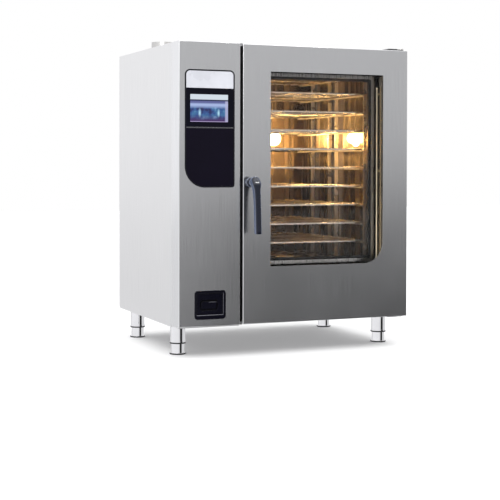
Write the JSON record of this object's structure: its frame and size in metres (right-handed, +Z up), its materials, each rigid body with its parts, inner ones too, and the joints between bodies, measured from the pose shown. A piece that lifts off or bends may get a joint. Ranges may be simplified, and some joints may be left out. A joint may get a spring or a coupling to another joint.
{
  "type": "combi steamer oven",
  "caption": "Floor-standing electric combi steamer oven with a glazed side-hung door, a touch control column, wire shelves on racks, a fan behind a baffle and levelling legs.",
  "frame": {"origin": "on the floor, in the middle of the oven's overall length and width (handle and rear fittings included)", "axes": "+X to the right as seen by the cook, +Y from the door to the back, +Z up"},
  "size_m": [0.857, 0.76, 1.09],
  "materials": {
    "front_steel": "fine brushed stainless steel",
    "casing_steel": "light satin stainless steel",
    "chamber_steel": "bright rolled stainless steel",
    "rack_steel": "polished stainless steel",
    "shelf_wire": "bright wire",
    "heater_steel": "heat-tinted tube",
    "leg_chrome": "polished",
    "handle_blue": "dark blue-black gloss",
    "black_gloss": "gloss",
    "black_plastic": "satin",
    "header_silver": "light silver satin",
    "screen_glass": "dark display glass",
    "door_glass": "clear toughened glass",
    "lamp_glass": "warm ribbed glass",
    "lamp_glow": "ceramic socket and lit halogen bulb",
    "gasket_rubber": "matt silicone",
    "mineral_wool": "fibrous",
    "motor_paint": "satin paint",
    "hinge_black": "satin black paint",
    "circuit_board": "solder mask",
    "union_brass": "bright"
  },
  "bodies": {
    "cabinet": {"air_baffle": "chamber_steel", "base_frame": "casing_steel", "cable_gland": "black_plastic", "casing_screws": "rack_steel", "chamber_insulation": "mineral_wool", "control_bezel": "black_plastic", "control_board": "circuit_board", "cooking_chamber": "chamber_steel", "cooling_fan_frame": "black_plastic", "door_gasket": "gasket_rubber", "drain_fitting": "chamber_steel", "fan_motor": "motor_paint", "front_fascia": "front_steel", "header_strip": "header_silver", "hinge_brackets": "hinge_black", "lamp_lenses": "lamp_glass", "lamp_sockets": "lamp_glow", "latch_keeper": "rack_steel", "left_side_panel": "casing_steel", "leg_tubes": "leg_chrome", "lower_cover": "black_gloss", "mouth_frame": "chamber_steel", "rack_left": "rack_steel", "rack_right": "rack_steel", "rear_panel": "casing_steel", "right_side_panel": "casing_steel", "ring_heater": "heater_steel", "roof_panel": "casing_steel", "shower_pocket": "black_plastic", "steam_generator": "chamber_steel", "touch_screen": "screen_glass", "vent_pipe": "casing_steel", "water_unions": "union_brass"},
    "door": {"door_shell": "front_steel", "door_outer_glass": "door_glass", "door_inner_glass": "door_glass", "door_liner": "chamber_steel", "glass_pivot_rod": "leg_chrome", "hinge_pins": "rack_steel", "handle_boss": "handle_blue"},
    "handle": {"handle_lever": "handle_blue", "latch_spindle": "rack_steel"},
    "fan": {"fan_shaft": "rack_steel", "fan_wheel": "chamber_steel"},
    "cooling_rotor": {"cooling_fan_rotor": "black_plastic"},
    "shower": {"shower_head": "black_plastic"},
    "shelf_01_body": {"shelf_01": "shelf_wire"},
    "shelf_02_body": {"shelf_02": "shelf_wire"},
    "shelf_03_body": {"shelf_03": "shelf_wire"},
    "shelf_04_body": {"shelf_04": "shelf_wire"},
    "shelf_05_body": {"shelf_05": "shelf_wire"},
    "shelf_06_body": {"shelf_06": "shelf_wire"},
    "shelf_07_body": {"shelf_07": "shelf_wire"},
    "shelf_08_body": {"shelf_08": "shelf_wire"},
    "shelf_09_body": {"shelf_09": "shelf_wire"},
    "shelf_10_body": {"shelf_10": "shelf_wire"},
    "foot_front_left_body": {"foot_front_left": "leg_chrome"},
    "foot_front_right_body": {"foot_front_right": "leg_chrome"},
    "foot_rear_left_body": {"foot_rear_left": "leg_chrome"},
    "foot_rear_right_body": {"foot_rear_right": "leg_chrome"}
  },
  "joints": [
    {"name": "door_hinge", "type": "hinge", "parent": "cabinet", "child": "door", "pos_m": [0.4145, -0.281, 0.575], "axis": [0, 0, 1], "range_deg": [0, 130]},
    {"name": "handle_turn", "type": "hinge", "parent": "door", "child": "handle", "pos_m": [-0.1735, -0.326, 0.582], "axis": [0, -1, 0], "range_deg": [0, 90]},
    {"name": "fan_spin", "type": "hinge", "parent": "cabinet", "child": "fan", "pos_m": [-0.1485, 0.05, 0.651], "axis": [1, 0, 0], "continuous": true},
    {"name": "cooling_fan_spin", "type": "hinge", "parent": "cabinet", "child": "cooling_rotor", "pos_m": [-0.3185, 0.334, 0.84], "axis": [0, 1, 0], "continuous": true},
    {"name": "shower_pull", "type": "slide", "parent": "cabinet", "child": "shower", "axis": [0, -1, 0], "range_m": [0, 0.055], "stiffness_N_per_m": 30},
    {"name": "shelf_01_slide", "type": "slide", "parent": "cabinet", "child": "shelf_01_body", "axis": [0, -1, 0], "range_m": [0, 0.03]},
    {"name": "shelf_02_slide", "type": "slide", "parent": "cabinet", "child": "shelf_02_body", "axis": [0, -1, 0], "range_m": [0, 0.03]},
    {"name": "shelf_03_slide", "type": "slide", "parent": "cabinet", "child": "shelf_03_body", "axis": [0, -1, 0], "range_m": [0, 0.03]},
    {"name": "shelf_04_slide", "type": "slide", "parent": "cabinet", "child": "shelf_04_body", "axis": [0, -1, 0], "range_m": [0, 0.03]},
    {"name": "shelf_05_slide", "type": "slide", "parent": "cabinet", "child": "shelf_05_body", "axis": [0, -1, 0], "range_m": [0, 0.03]},
    {"name": "shelf_06_slide", "type": "slide", "parent": "cabinet", "child": "shelf_06_body", "axis": [0, -1, 0], "range_m": [0, 0.03]},
    {"name": "shelf_07_slide", "type": "slide", "parent": "cabinet", "child": "shelf_07_body", "axis": [0, -1, 0], "range_m": [0, 0.03]},
    {"name": "shelf_08_slide", "type": "slide", "parent": "cabinet", "child": "shelf_08_body", "axis": [0, -1, 0], "range_m": [0, 0.03]},
    {"name": "shelf_09_slide", "type": "slide", "parent": "cabinet", "child": "shelf_09_body", "axis": [0, -1, 0], "range_m": [0, 0.03]},
    {"name": "shelf_10_slide", "type": "slide", "parent": "cabinet", "child": "shelf_10_body", "axis": [0, -1, 0], "range_m": [0, 0.03]},
    {"name": "foot_front_left_screw", "type": "slide", "parent": "cabinet", "child": "foot_front_left_body", "axis": [0, 0, -1], "range_m": [0, 0.025]},
    {"name": "foot_front_right_screw", "type": "slide", "parent": "cabinet", "child": "foot_front_right_body", "axis": [0, 0, -1], "range_m": [0, 0.025]},
    {"name": "foot_rear_left_screw", "type": "slide", "parent": "cabinet", "child": "foot_rear_left_body", "axis": [0, 0, -1], "range_m": [0, 0.025]},
    {"name": "foot_rear_right_screw", "type": "slide", "parent": "cabinet", "child": "foot_rear_right_body", "axis": [0, 0, -1], "range_m": [0, 0.025]}
  ]
}
